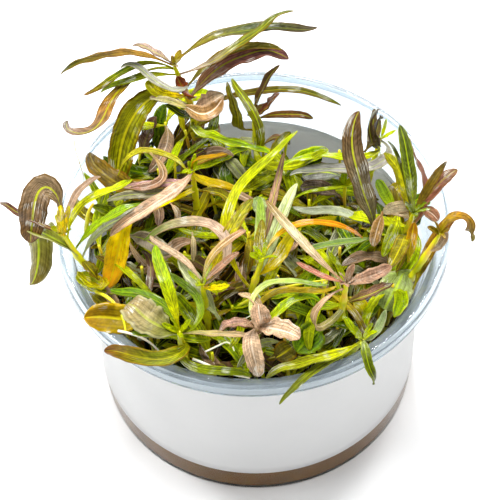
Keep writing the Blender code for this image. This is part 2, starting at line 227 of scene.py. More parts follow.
profile += [(RIM_RADIUS - WALL, CUP_HEIGHT - 3.7 * MM), (RIM_RADIUS - WALL, CUP_HEIGHT - 1.5 * MM)]
profile += [(RIM_RADIUS - WALL - 0.6 * MM, CUP_HEIGHT - 0.95 * MM), (MOUTH_RADIUS + WALL, mouth - 0.5 * MM)]
profile += [(SEAT_RADIUS, SEAT_HEIGHT), (SEAT_RADIUS - 0.5 * MM, SEAT_HEIGHT - 0.9 * MM)]
profile += [(BODY_TOP_RADIUS + 0.5 * MM, BODY_TOP_HEIGHT - 0.3 * MM)]
profile += [(BODY_TOP_RADIUS, BODY_TOP_HEIGHT - 1.2 * MM)]
profile += bend((BASE_RADIUS - 0.9 * MM, 0.9 * MM), 0.9 * MM, 0, -90)
profile += [(BASE_RADIUS - 3 * MM, 0), (BASE_RADIUS - 3.6 * MM, 0.4 * MM), (0, 0.4 * MM)]
cup = turned("clear_tub", profile, clear_plastic)
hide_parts("cup")


# The sleeve: white coated paper, printed flat, wrapped once round the tub and glued to itself at the
# back, where its end laps over its start. It is left bare here.
label_low, label_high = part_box("label")
PAPER = 0.16 * MM
LAP = math.radians(9)
SEAM_START = math.radians(110)
SLEEVE_TURN = 2 * math.pi + LAP
SLEEVE_TAPER = 0.62 * MM
SLEEVE_RIPPLE = 0.05 * MM
SLEEVE_COLUMNS = 180
SLEEVE_ROWS = 14

coated_paper, tree = new_material("coated_paper")
# Coated paper is a cool white with a faint sheen and fibres just felt, and a little light comes through.
here = add_node(tree, "TexCoord")
fibres = add_node(tree, "TexNoise", {"Vector": here.outputs["Object"], "Scale": 1400.0, "Detail": 4.0,
    "Roughness": 0.6})
cloud = add_node(tree, "TexNoise", {"Vector": here.outputs["Object"], "Scale": 70.0, "Detail": 3.0})
paper_white = add_node(tree, "Mix", {"Factor": cloud, "A": linear("#e6e7e7"), "B": linear("#efefef")},
    data_type="RGBA")
sheen = add_node(tree, "MapRange", {"Value": cloud, "To Min": 0.34, "To Max": 0.5})
relief = add_node(tree, "Bump", {"Height": fibres, "Distance": 0.03 * MM, "Strength": 0.3})
sheet = add_node(tree, "BsdfPrincipled", {"Base Color": paper_white, "Roughness": sheen, "Normal": relief})
daylight = add_node(tree, "BsdfTranslucent", {"Color": paper_white})
both = add_node(tree, "MixShader", {0: 0.4, 1: sheet, 2: daylight})
add_node(tree, "OutputMaterial", {"Surface": both})

vertices, faces = [], []
inner_top = label_high.x - 0.3 * MM
for column in range(SLEEVE_COLUMNS + 1):
    turn = SEAM_START + column / SLEEVE_COLUMNS * SLEEVE_TURN
    lapped = max(0.0, (column / SLEEVE_COLUMNS * SLEEVE_TURN - 2 * math.pi) / LAP + 0.6)
    for row in range(SLEEVE_ROWS + 1):
        share = row / SLEEVE_ROWS
        height = label_low.z + share * (label_high.z - label_low.z)
        ripple = SLEEVE_RIPPLE * math.sin(5 * turn + 4 * share) * math.sin(math.pi * share)
        radius = inner_top - SLEEVE_TAPER * (1 - share) + min(lapped, 1.0) * (PAPER + 0.03 * MM) + ripple
        vertices.append((radius * math.cos(turn), radius * math.sin(turn), height))
for column in range(SLEEVE_COLUMNS):
    for row in range(SLEEVE_ROWS):
        low = column * (SLEEVE_ROWS + 1) + row
        faces.append((low, low + SLEEVE_ROWS + 1, low + SLEEVE_ROWS + 2, low + 1))
sleeve = new_piece("paper_sleeve", vertices, faces, coated_paper)
thick = sleeve.modifiers.new("paper", "SOLIDIFY")
thick.thickness = PAPER
thick.offset = 1
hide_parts("label")


# The nutrient gel: brown agar that was poured hot into the tub and has set there. It fills the foot
# and creeps a little up the wall.
gel_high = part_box("nutrient_gel")[1]
GEL_RADIUS = gel_high.x + 0.42 * MM
gel_top = gel_high.z - 0.9 * MM
GEL_FOOT = 0.6 * MM

agar, tree = new_material("agar_gel")
# Agar is brown and cloudy, soft-looking inside, with a smooth wet surface.
here = add_node(tree, "TexCoord")
cloud = add_node(tree, "TexNoise", {"Vector": here.outputs["Object"], "Scale": 120.0, "Detail": 4.0})
brown = add_node(tree, "Mix", {"Factor": cloud, "A": linear("#644210"), "B": linear("#8e6424")},
    data_type="RGBA")
wet = add_node(tree, "BsdfPrincipled", {"Base Color": brown, "Roughness": 0.18, "IOR": 1.34,
    "Specular IOR Level": 0.08, "Subsurface Weight": 0.25, "Subsurface Scale": 3 * MM})
add_node(tree, "OutputMaterial", {"Surface": wet})
profile = [(0, gel_top), (GEL_RADIUS - 6 * MM, gel_top), (GEL_RADIUS - 2.5 * MM, gel_top + 0.15 * MM)]
profile += [(GEL_RADIUS - 0.8 * MM, gel_top + 0.5 * MM), (GEL_RADIUS, gel_high.z)]
profile += [(GEL_RADIUS - 0.1 * MM, GEL_FOOT + 1.6 * MM), (GEL_RADIUS - 0.3 * MM, GEL_FOOT + 0.5 * MM)]
profile += [(GEL_RADIUS - 0.9 * MM, GEL_FOOT), (0, GEL_FOOT)]
gel = turned("agar_floor", profile, agar)
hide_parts("nutrient_gel")


# The stems: each shoot's soft olive stalk, 2 mm thick, rooted in the gel, with a swollen joint where
# a pair of leaves leaves it.
STEM_RADIUS = 1.1 * MM
STEM_SIDES = 12
JOINT_SPACING = 9 * MM
JOINT_REACH = 0.9 * MM
STEMS = {
    # shoot: points up its stem, in millimetres
    "back_left": [(-13, 26, 12.7), (-14, 30, 46), (-15, 32, 71), (-19, 33, 87)],
    "back": [(3, 20, 12.7), (2, 25, 46), (1, 27, 73)],
    "left": [(-30, -8, 12.7), (-37, -12, 46), (-41, -14, 63), (-44, -15, 71), (-47, -14, 80)],
    "middle": [(-12, 4, 12.7), (-14, 7, 46), (-15, 8, 75)],
    "centre": [(2, -12, 12.7), (0, -20, 46), (-1, -24, 67), (2, -24, 80)],
    "inner_left": [(-10, -18, 12.7), (-12, -24, 46), (-13, -28, 76)],
    "front_left": [(-14, -22, 12.7), (-18, -31, 46), (-19, -38, 70)],
    "front": [(0, -24, 12.7), (-1, -32, 46), (0, -39, 73)],
    "pink": [(16, -20, 12.7), (20, -27, 46), (22, -32, 80)],
    "front_right": [(20, -28, 12.7), (22, -31, 46), (24.5, -36, 58), (26, -39, 65)],
    "right": [(30, -14, 12.7), (34.5, -16.5, 46), (39, -18, 61), (46, -16, 77)],
    "right_back": [(30, 0, 12.7), (36, -3, 46), (40, -8, 75)],
    "far_right": [(24, 4, 12.7), (29, -1, 46), (31, -7, 65)],
    "back_right": [(22, 16, 12.7), (30, 21, 46), (34, 25, 64)],
}


def stem_at(shoot, height):
    """Where a shoot's stem is at a height in millimetres."""
    points = np.array(STEMS[shoot], float)
    return np.array([np.interp(height, points[:, 2], points[:, axis]) for axis in (0, 1, 2)]) * MM


def unit(rows):
    """Each row as a direction of length one."""
    return rows / np.linalg.norm(rows, axis=1)[:, None]


def tube(line, radii, sides):
    """Vertices, faces and places (along, round, 0) of a closed tube along a line."""
    onward = unit(np.gradient(line, axis=0))
    across = unit(np.cross(onward, (0.0, 1.0, 0.2)))
    other = np.cross(onward, across)
    angles = np.arange(sides) * 2 * math.pi / sides
    outward = np.cos(angles)[:, None] * across[:, None] + np.sin(angles)[:, None] * other[:, None]
    rings = line[:, None] + radii[:, None, None] * outward
    vertices = [*rings.reshape(-1, 3), line[0], line[-1]]
    rows = len(line)
    faces = []
    for row in range(rows - 1):
        for side in range(sides):
            near, far = row * sides + side, row * sides + (side + 1) % sides
            faces.append((near, far, far + sides, near + sides))
    for side in range(sides):
        faces.append(((side + 1) % sides, side, rows * sides))
        faces.append(((rows - 1) * sides + side, (rows - 1) * sides + (side + 1) % sides, rows * sides + 1))
    along = np.repeat(np.linspace(0, 1, rows), sides)
    places = np.stack([along, np.tile(angles / math.pi - 1, rows), np.zeros(rows * sides)], 1)
    return vertices, faces, [*places, (0, 0, 0), (1, 0, 0)]


def mark(piece, name, values):
    """Keeps three values for each vertex under a name that the material reads: "leaf_place", which is
    how far along and across its leaf or stem it lies and a chance value, or "leaf_tint", its colour."""
    kept = piece.data.attributes.new(name, "FLOAT_VECTOR", "POINT")
    kept.data.foreach_set("vector", np.array(values, np.float32).ravel())


stem_skin, tree = new_material("stem_skin")
# A young stem is smooth and moist, olive to orange yellow, with fine fibres along it.
place = add_node(tree, "Attribute", attribute_name="leaf_place")
parts = add_node(tree, "SeparateXYZ", {0: place.outputs["Vector"]})
here = add_node(tree, "TexCoord")
blush = add_node(tree, "TexNoise", {"Vector": here.outputs["Object"], "Scale": 160.0, "Detail": 3.0})
fibres = add_node(tree, "TexNoise", {"W": parts.outputs["Y"], "Scale": 14.0, "Detail": 2.0},
    noise_dimensions="1D")
colour = add_node(tree, "ValToRGB", {"Fac": blush})
stops = colour.color_ramp.elements
stops[0].position, stops[0].color = 0.3, linear("#b4bc00")
stops[1].position, stops[1].color = 0.72, linear("#e4b438")
stops.new(0.5).color = linear("#dcd814")
relief = add_node(tree, "Bump", {"Height": fibres, "Distance": 0.08 * MM, "Strength": 0.4})
skin = add_node(tree, "BsdfPrincipled", {"Base Color": colour, "Roughness": 0.3, "Normal": relief,
    "Subsurface Weight": 0.15, "Subsurface Scale": 1 * MM})
add_node(tree, "OutputMaterial", {"Surface": skin})

for shoot, points in STEMS.items():
    top = points[-1][2]
    heights = np.arange(points[0][2], top, 1.5)
    heights = np.append(heights, top)
    line = np.array([stem_at(shoot, height) for height in heights])
    for axis in (0, 1):
        line[1:-1, axis] = (line[:-2, axis] + line[1:-1, axis] + line[2:, axis]) / 3
    length = np.append(0, np.cumsum(np.linalg.norm(np.diff(line, axis=0), axis=1)))
    below_tip = length[-1] - length
    from_joint = np.mod(below_tip + 0.5 * JOINT_SPACING, JOINT_SPACING) - 0.5 * JOINT_SPACING
    radii = STEM_RADIUS * (0.82 + 0.3 * np.exp(-(from_joint / JOINT_REACH) ** 2))
    radii *= np.interp(below_tip, (0, 3 * MM, 14 * MM), (0.35, 0.7, 1.0))
    vertices, faces, places = tube(line, radii, STEM_SIDES)
    stem = new_piece("stalk_" + shoot, vertices, faces, stem_skin)
    mark(stem, "leaf_place", places)
    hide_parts("stem_" + shoot)


# The large leaves: narrow, lance-shaped and wet, of soft flesh a quarter of a millimetre thick, green,
# olive, pink or purple, with a pale midrib. Each grows from its shoot's stem and bends over the rest.
BLADE_STEPS = 30
BLADE_LANES = np.array([-1, -0.62, -0.2, 0, 0.2, 0.62, 1])
BLADE_THICKNESS = 0.26 * MM
LEAF_KINDS = {
    # kind: colour of the midrib, of the margin, roughness, share of light passing through, streaks' strength
    "bright green": ("#ecf010", "#d8dc00", 0.3, 0.36, 1.0),
    "mid green": ("#c0d800", "#a0ac00", 0.28, 0.3, 1.15),
    "olive": ("#d8cc08", "#946400", 0.3, 0.32, 1.0),
    "purple brown": ("#bcc410", "#6a4a18", 0.3, 0.22, 1.0),
    "pink cream": ("#fff0d8", "#d4b088", 0.34, 0.34, 0.8),
    "grey green": ("#c8e020", "#d0cc98", 0.22, 0.36, 0.6),
    "yellow": ("#fcf018", "#f0cc08", 0.32, 0.48, 0.34),
}


def leaf_flesh(name, rib, margin, roughness, glow, streaking):
    """Wet leaf flesh in the leaf's own tint, streaked along its veins, with a pale midrib and margin, and
    pale glints of water painted into its colour.
    """
    material, tree = new_material(name)
    place = add_node(tree, "Attribute", attribute_name="leaf_place")
    tint = add_node(tree, "Attribute", attribute_name="leaf_tint")
    parts = add_node(tree, "SeparateXYZ", {0: place.outputs["Vector"]})
    here = add_node(tree, "TexCoord")
    # Streaks along the leaf, blotches, specks and slanting side veins, all worked into one light level.
    stretched = add_node(tree, "VectorMath", {0: place.outputs["Vector"], 1: (2.4, 8.0, 60.0)},
        operation="MULTIPLY")
    streaks = add_node(tree, "TexNoise", {"Vector": stretched, "Scale": 1.0, "Detail": 4.0})
    patches = add_node(tree, "TexNoise", {"Vector": here.outputs["Object"], "Scale": 420.0, "Detail": 3.0})
    specks = add_node(tree, "TexNoise", {"Vector": here.outputs["Object"], "Scale": 1800.0, "Detail": 2.0})
    side = add_node(tree, "Math", {0: parts.outputs["Y"]}, operation="ABSOLUTE")
    slant = add_node(tree, "Math", {0: side, 1: -0.09, 2: parts.outputs["X"]}, operation="MULTIPLY_ADD")
    netted = add_node(tree, "CombineXYZ", {"X": slant, "Y": side, "Z": parts.outputs["Z"]})
    netted = add_node(tree, "VectorMath", {0: netted, 1: (42.0, 1.6, 90.0)}, operation="MULTIPLY")
    veins = add_node(tree, "TexNoise", {"Vector": netted, "Scale": 1.0, "Detail": 3.0})
    veined = add_node(tree, "MapRange", {"Value": veins, "From Min": 0.36, "From Max": 0.64,
        "To Min": 1 - 0.36 * streaking, "To Max": 1 + 0.32 * streaking})
    streaked = add_node(tree, "MapRange", {"Value": streaks, "From Min": 0.37, "From Max": 0.63})
    dark = (1 - 0.5 * streaking, 1 - 0.54 * streaking, 1 - 0.68 * streaking, 1)
    bright = (1 + 0.45 * streaking, 1 + 0.45 * streaking, 1 + 0.35 * streaking, 1)
    light = add_node(tree, "Mix", {"Factor": streaked, "A": dark, "B": bright}, data_type="RGBA")
    blotch = add_node(tree, "MapRange", {"Value": patches, "From Min": 0.3, "From Max": 0.7, "To Min": 0.78,
        "To Max": 1.22})
    tone = add_node(tree, "MapRange", {"Value": parts.outputs["Z"], "To Min": 0.85, "To Max": 1.2})
    level = add_node(tree, "Math", {0: tone, 1: blotch}, operation="MULTIPLY")
    level = add_node(tree, "Math", {0: level, 1: veined}, operation="MULTIPLY")
    flesh = add_node(tree, "VectorMath", {0: tint.outputs["Vector"], 1: light}, operation="MULTIPLY")
    flesh = add_node(tree, "VectorMath", {0: flesh, "Scale": level}, operation="SCALE")
    # The margin and brown specks are painted over that, and the pale midrib over both.
    border = add_node(tree, "MapRange", {"Value": side, "From Min": 0.74, "From Max": 0.98, "To Max": 0.5},
        interpolation_type="SMOOTHSTEP")
    border = add_node(tree, "Math", {0: border, 1: blotch}, operation="MULTIPLY", use_clamp=True)
    edged = add_node(tree, "Mix", {"Factor": border, "A": flesh, "B": linear(margin)}, data_type="RGBA")
    spots = add_node(tree, "MapRange", {"Value": specks, "From Min": 0.62, "From Max": 0.72,
        "To Max": 0.35})
    spotted = add_node(tree, "Mix", {"Factor": spots, "A": edged, "B": linear("#4a3a14")},
        data_type="RGBA")
    ribbed = add_node(tree, "MapRange", {"Value": side, "From Min": 0.03, "From Max": 0.13, "To Min": 1.0,
        "To Max": 0.0}, interpolation_type="SMOOTHSTEP")
    shown = add_node(tree, "MapRange", {"Value": parts.outputs["Z"], "From Max": 0.8, "To Min": 0.12,
        "To Max": 0.85})
    ribbed = add_node(tree, "Math", {0: ribbed, 1: shown}, operation="MULTIPLY")
    colour = add_node(tree, "Mix", {"Factor": ribbed, "A": spotted, "B": linear(rib)}, data_type="RGBA")
    # Painted reflection: pale streaks, like the sky glinting in water on the leaf, are painted into its
    # colour in clusters.
    painted_glint_streaks = add_node(tree, "VectorMath", {0: place.outputs["Vector"], 1: (7.0, 13.0, 130.0)},
        operation="MULTIPLY")
    painted_glint_streaks = add_node(tree, "TexNoise", {"Vector": painted_glint_streaks, "Scale": 1.0, "Detail": 3.0})
    painted_glint_streaks = add_node(tree, "MapRange", {"Value": painted_glint_streaks, "From Min": 0.53, "From Max": 0.62, "To Max": 0.8})
    painted_glint_clusters = add_node(tree, "TexNoise", {"Vector": here.outputs["Object"], "Scale": 170.0, "Detail": 2.0})
    painted_glint_clusters = add_node(tree, "MapRange", {"Value": painted_glint_clusters, "From Min": 0.57, "From Max": 0.63})
    painted_glint = add_node(tree, "Math", {0: painted_glint_streaks, 1: painted_glint_clusters}, operation="MULTIPLY")
    colour = add_node(tree, "Mix", {"Factor": painted_glint, "A": colour, "B": linear("#f6f6ea")}, data_type="RGBA")
    grain = add_node(tree, "Math", {0: veins, 1: 1.1, 2: patches}, operation="MULTIPLY_ADD")
    grain = add_node(tree, "Math", {0: streaks, 1: 1.6, 2: grain}, operation="MULTIPLY_ADD")
    wet_relief = add_node(tree, "Bump", {"Height": grain, "Distance": 0.3 * MM, "Strength": 0.5})
    grain = add_node(tree, "Math", {0: specks, 1: 0.5, 2: grain}, operation="MULTIPLY_ADD")
    relief = add_node(tree, "Bump", {"Height": grain, "Distance": 0.34 * MM, "Strength": 0.65})
    skin = add_node(tree, "BsdfPrincipled", {"Base Color": colour, "Roughness": roughness, "Normal": relief,
        "Specular IOR Level": 0.06, "Coat Weight": 0.5, "Coat Roughness": 0.09, "Coat Normal": wet_relief})
    through = add_node(tree, "BsdfTranslucent", {"Color": colour})
    whole = add_node(tree, "MixShader", {0: glow, 1: skin, 2: through})
    add_node(tree, "OutputMaterial", {"Surface": whole})
    return material


flesh_of = {}
for kind, look in LEAF_KINDS.items():
    flesh_of[kind] = leaf_flesh("leaf_flesh_" + kind.replace(" ", "_"), *look)


# A stalk's length as a share of its leaf's, where it is long, and the leaves whose midrib shows clearly.
SHORT_STALK = 0.06
LONG_STALKS = {"middle_1": 0.5, "inner_left_1": 0.5, "left_1": 0.12, "right_1": 0.12, "back_left_2": 0.2}
PALE_RIBS = ("left_1", "left_3", "right_1", "far_right_1", "back_left_5", "back_left_8", "inner_left_1")


def blade(line, sideways, upward, share, width, tints, seed, lanes=BLADE_LANES, bare=SHORT_STALK):
    """A leaf blade along a line as vertices, faces, places and tints. The tints are the colours of its
    stalk, its middle and its tip, and bare is the share of its length that is only stalk."""
    chance = random.Random("blade " + seed)
    grown = np.clip((share - bare) / (1 - bare), 0, 1)
    swell = np.maximum(np.sin(0.5 * math.pi * np.clip(grown / 0.42, 0, 1)) ** 1.1, 0.2)
    taper = np.maximum(1 - np.clip((grown - 0.5) / 0.5, 0, 1) ** chance.uniform(2.3, 3.4), 0.001) ** 0.6
    half = 0.56 * width * MM * np.maximum(swell * taper, 0.05)
    fold = chance.uniform(0.15, 0.6)
    ripple = chance.uniform(0.08, 0.26)
    turns = chance.uniform(2.5, 5.0) * 2 * math.pi * share
    tone = 0.7 if seed in PALE_RIBS else random.Random("tone " + seed).random()
    points, places = [], []
    for lane in lanes:
        shift = chance.uniform(0, 6)
        lift = fold * abs(lane) ** 1.3 + ripple * lane * lane * np.sin(turns + (2.1 if lane > 0 else 0.3))
        spread = lane * (1 + 0.035 * np.sin(2.3 * turns + shift) * abs(lane))
        points.append(line + sideways * (half * spread)[:, None] + upward * (half * lift)[:, None])
        places.append(np.stack([share, np.full(len(share), lane), np.full(len(share), tone)], 1))
    across = len(lanes)
    vertices = np.stack(points, 1).reshape(-1, 3)
    places = np.stack(places, 1).reshape(-1, 3)
    colours = np.array([linear(tint)[:3] for tint in tints.split()])
    stops = np.linspace(0.08, 0.97, len(colours))
    shades = np.stack([np.interp(places[:, 0], stops, colours[:, part]) for part in range(3)], 1)
    faces = []
    for step in range(len(share) - 1):
        for lane in range(across - 1):
            low = step * across + lane
            faces.append((low, low + across, low + across + 1, low + 1))
    return vertices, faces, places, shades


def shares_along(steps):
    """Shares of a leaf's length, closer together towards its tip."""
    return 1 - (1 - np.linspace(0, 1, steps + 1)) ** 1.35


def leaf_sheet(foot, row, tints, seed, steps=BLADE_STEPS, lanes=BLADE_LANES):
    """A leaf that bends evenly. The row is heading, rise, droop, sweep, hook, length and width."""
    heading, rise, droop, sweep, hook, length, width = row
    chance = random.Random(seed)
    share = shares_along(steps)
    between = (share[1:] + share[:-1]) / 2
    turn = np.radians(heading + sweep * between + hook * between ** 4)
    pitch = np.radians(rise - droop * between)
    ahead = np.stack([np.cos(turn) * np.cos(pitch), np.sin(turn) * np.cos(pitch), np.sin(pitch)], 1)
    line = foot + np.vstack([np.zeros(3), np.cumsum(ahead * np.diff(share)[:, None], 0)]) * (length * MM)
    turn = np.radians(heading + sweep * share + hook * share ** 4)
    pitch = np.radians(rise - droop * share)
    level = np.stack([-np.sin(turn), np.cos(turn), 0 * turn], 1)
    above = np.stack([-np.cos(turn) * np.sin(pitch), -np.sin(turn) * np.sin(pitch), np.cos(pitch)], 1)
    roll = np.radians(chance.uniform(-12, 12) + chance.uniform(-28, 28) * share)[:, None]
    sideways = level * np.cos(roll) + above * np.sin(roll)
    upward = above * np.cos(roll) - level * np.sin(roll)
    wave = chance.uniform(1.6, 2.8) * 2 * math.pi * share + chance.uniform(0, 6)
    line = line + upward * (0.011 * length * MM * np.sin(wave) * share)[:, None]
    bare = LONG_STALKS.get(seed, SHORT_STALK)
    return blade(line, sideways, upward, share, width, tints, seed, lanes, bare)


def joined(parts):
    """Parts of vertices, faces and other lists as one list of each, for one piece."""
    vertices, faces, others = [], [], [[] for _ in parts[0][2:]]
    for part in parts:
        start = len(vertices)
        vertices.extend(part[0])
        faces.extend(tuple(start + corner for corner in face) for face in part[1])
        for other, more in zip(others, part[2:]):
            other.extend(more)
    return vertices, faces, *others


def new_leaves(name, sheets, kind):
    """One piece that joins leaf sheets of one kind and thickens them."""
    vertices, faces, places, shades = joined(sheets)
    piece = new_piece(name, vertices, faces, flesh_of[kind])
    mark(piece, "leaf_place", places)
    mark(piece, "leaf_tint", shades)
    thick = piece.modifiers.new("flesh", "SOLIDIFY")
    thick.thickness = BLADE_THICKNESS
    thick.offset = 0
    return piece


LARGE_LEAVES = {
    # shoot: number, height on the stem, heading, rise, droop, sweep, hook, length, width, kind, and the
    # colours of stalk, middle and tip. Lengths are in millimetres and the turns in degrees.
    "back_left": [
        (1, 86, 173, 40, 85, 20, -15, 32, 2.2, "olive", "#c5973a #7b5e23 #4c5610"),
        (2, 85, 146, -15, -15, 235, -335, 41, 3.8, "purple brown", "#8c9410 #845c10 #7c6c68"),
        (3, 87, 40, 20, 50, -70, 80, 42, 3.4, "purple brown", "#84741c #4f5c28 #4c4030"),
        (4, 83, 348, 30, 25, 90, -65, 35, 3.0, "olive", "#a89088 #6f7420 #5c6a10"),
        (5, 73, 13, 70, 105, 20, -50, 33, 4.8, "purple brown", "#b08a60 #95605a #6a4444"),
        (6, 73, 307, 65, -5, -190, 25, 14, 3.6, "purple brown", "#b85a10 #a84c10 #7a3010"),
        (7, 71, 275, 40, 25, 175, -65, 12, 5.0, "pink cream", "#ba9778 #b19478 #9c8b70"),
        (8, 78, 179, 0, 50, 125, -60, 35, 6.2, "olive", "#8c9008 #848400 #6c7000"),
        (9, 65, 257, 45, 60, 140, -65, 32, 3.2, "bright green", "#acb800 #98b102 #729d05"),
        (10, 69, 2, 35, 55, -5, -25, 41, 1.8, "olive", "#9b8030 #655e1f #535e1a"),
    ],
    "back": [
        (1, 73, 9, 80, 20, -5, -10, 20, 2.0, "purple brown", "#674820 #553a20 #432d18"),
        (2, 65, 265, 5, -195, 90, -80, 36, 2.2, "mid green", "#8e8a06 #7b7a06 #686a06"),
    ],
    "left": [
        (1, 79, 24, 120, 265, 280, 245, 37, 6.4, "purple brown", "#8c7858 #74604c #7c5828"),
        (2, 79, 154, 10, 40, -25, -10, 23, 1.8, "purple brown", "#7a5340 #674134 #55362c"),
        (3, 71, 185, 80, 290, -145, 30, 34, 6.0, "grey green", "#848c28 #94943c #7c6c30"),
        (4, 77, 87, 45, 75, -135, 140, 26, 2.2, "bright green", "#cacc00 #b6bc02 #90a305"),
        (5, 73, 37, 50, 80, -20, 35, 23, 2.4, "mid green", "#93ae03 #819e06 #688a06"),
    ],
    "middle": [
        (1, 67, 237, 45, 105, -50, 120, 42, 5.0, "yellow", "#fcf000 #fff400 #ffec00 #e8b020"),
        (2, 75, 267, 35, 75, -110, 55, 32, 3.0, "pink cream", "#c6a790 #cbac94 #c6a488"),
    ],
    "centre": [
        (1, 67, 149, 40, 30, -190, 95, 48, 3.0, "bright green", "#ddcc07 #b9be05 #9aad05"),
        (2, 78, 68, 40, 95, -125, 75, 33, 1.6, "yellow", "#d4bb13 #dc990e #b25f13"),
    ],
    "inner_left": [
        (1, 63, 180, 25, 45, 0, 30, 32, 6.6, "yellow", "#b4b400 #ac9c00 #a07c04"),
        (2, 75, 9, 30, 70, 280, -115, 40, 2.6, "pink cream", "#c7b195 #c7a995 #66830a"),
    ],
    "front_left": [
        (1, 69, 104, 65, 70, 15, -30, 24, 2.8, "bright green", "#ddd800 #acc202 #85ad05"),
        (2, 69, 203, 50, 85, -130, 60, 18, 7.6, "grey green", "#78840c #988c5c #b09c70"),
        (3, 61, 311, 55, 100, -270, 115, 33, 3.6, "olive", "#a0a408 #7c8408 #7c4c10"),
    ],
    "front": [
        (1, 72, 324, 40, 65, 35, -30, 12, 4.6, "pink cream", "#d0b49d #cdb195 #c6a78d"),
        (2, 71, 235, 45, 125, 95, -60, 15, 4.0, "pink cream", "#d0b49d #c8ac91 #bea488"),
    ],
    "pink": [
        (1, 79, 153, 40, 70, -55, 15, 33, 2.0, "pink cream", "#c49f7c #c0b798 #8c6f2e"),
        (2, 79, 329, 50, 55, 80, -15, 13, 3.0, "pink cream", "#c69f84 #be9780 #b58b74"),
    ],
    "front_right": [
        (1, 65, 265, 60, 160, 25, 65, 16, 2.2, "mid green", "#7c8c08 #566404 #4a5200"),
        (2, 64, 232, 30, 65, -85, 55, 28, 2.4, "mid green", "#c4c800 #a8ac04 #8a8c08"),
        (3, 58, 241, 50, 85, -50, 40, 30, 2.2, "mid green", "#98a000 #747c04 #5c6404"),
    ],
    "right": [
        (1, 62, 255, 15, -40, -20, -30, 21, 7.6, "grey green", "#9cb458 #a4b468 #98a858"),
        (2, 75, 55, 75, 215, -55, -325, 20, 2.4, "olive", "#bca213 #b38013 #8f8643"),
    ],
    "right_back": [
        (1, 63, 264, 55, 45, -15, -10, 24, 3.4, "olive", "#9b9113 #89800e #776f0a"),
        (2, 75, 107, 80, 50, -10, 10, 24, 2.9, "mid green", "#98a410 #64741c #4c5828"),
        (3, 66, 6, 40, -35, 220, -65, 29, 1.6, "pink cream", "#be8268 #b57a64 #a87160"),
        (4, 73, 32, 50, 55, 25, -30, 17, 2.9, "purple brown", "#d48970 #9f6550 #7a5a40"),
    ],
    "far_right": [
        (1, 63, 148, 85, 55, -50, -50, 37, 5.0, "purple brown", "#746c40 #6c6048 #583c20"),
    ],
    "back_right": [
        (1, 61, 284, 45, 50, -205, 180, 39, 2.4, "bright green", "#cacc0a #a3b405 #7f9d05"),
        (2, 63, 310, 30, 35, -240, 150, 39, 3.0, "grey green", "#b2ad9d #a19c9d #92958d"),
    ],
}
OWN_LINES = {
    # points along the leaves that bend unevenly, from the stem outwards, in millimetres
    "left_1": [(-47.3, -9.9, 79), (-47.5, -7, 82.5), (-48.5, -5.1, 85), (-50.7, -3.9, 86),
        (-52.7, -5, 85.5), (-53.8, -7.7, 83.5), (-54.6, -9.9, 79.5), (-55.7, -11.6, 73)],
    "middle_1": [(-31.3, -6.3, 74), (-33.4, -9.6, 71), (-34.5, -12.2, 67), (-35.8, -14.5, 62.5),
        (-37.4, -17.3, 60)],
    "inner_left_1": [(-26.5, -28.3, 62.5), (-33, -28.6, 62.5), (-38.1, -28.2, 63.5),
        (-42.7, -29, 64.5)],
    "right_1": [(37.4, -16.3, 62), (35.7, -20.1, 61.5), (33.7, -23.3, 60.5), (31.9, -25.5, 58.5)],
}


def smooth_line(points, steps):
    """Points in millimetres joined by a smooth line, in metres, and the share of each along it."""
    knots = np.array(points, float)
    for _ in range(4):
        cut = np.stack([0.75 * knots[:-1] + 0.25 * knots[1:], 0.25 * knots[:-1] + 0.75 * knots[1:]], 1)
        knots = np.vstack([knots[:1], cut.reshape(-1, 3), knots[-1:]])
    reach = np.append(0, np.cumsum(np.linalg.norm(np.diff(knots, axis=0), axis=1)))
    share = shares_along(steps)
    line = np.stack([np.interp(share * reach[-1], reach, knots[:, axis]) for axis in range(3)], 1)
    return line * MM, share


def curled_sheet(points, width, tints, seed, steps=24, bare=SHORT_STALK):
    """A leaf that follows its own line, with its face turned up and a little to the front."""
    lean = random.Random("lean " + seed).uniform(-0.7, -0.2)
    line, share = smooth_line(points, steps)
    onward = unit(np.gradient(line, axis=0))
    level = unit(np.cross((0, lean, 1), onward))
    return blade(line, level, np.cross(onward, level), share, width, tints, seed, bare=bare)


for shoot, rows in LARGE_LEAVES.items():
    for number, height, *row, kind, tints in rows:
        name = f"{shoot}_{number}"
        if name in OWN_LINES:
            points = OWN_LINES[name]
            # The line of left_1 already starts at its stem, and the others start a little away from it.
            if name != "left_1":
                points = [tuple(stem_at(shoot, height) / MM), *points]
            sheet = curled_sheet(points, row[-1], tints, name, BLADE_STEPS, LONG_STALKS[name])
        else:
            sheet = leaf_sheet(stem_at(shoot, height), row, tints, name)
        leaf = new_leaves("blade_" + name, [sheet], kind)
        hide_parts("leaf_" + name)


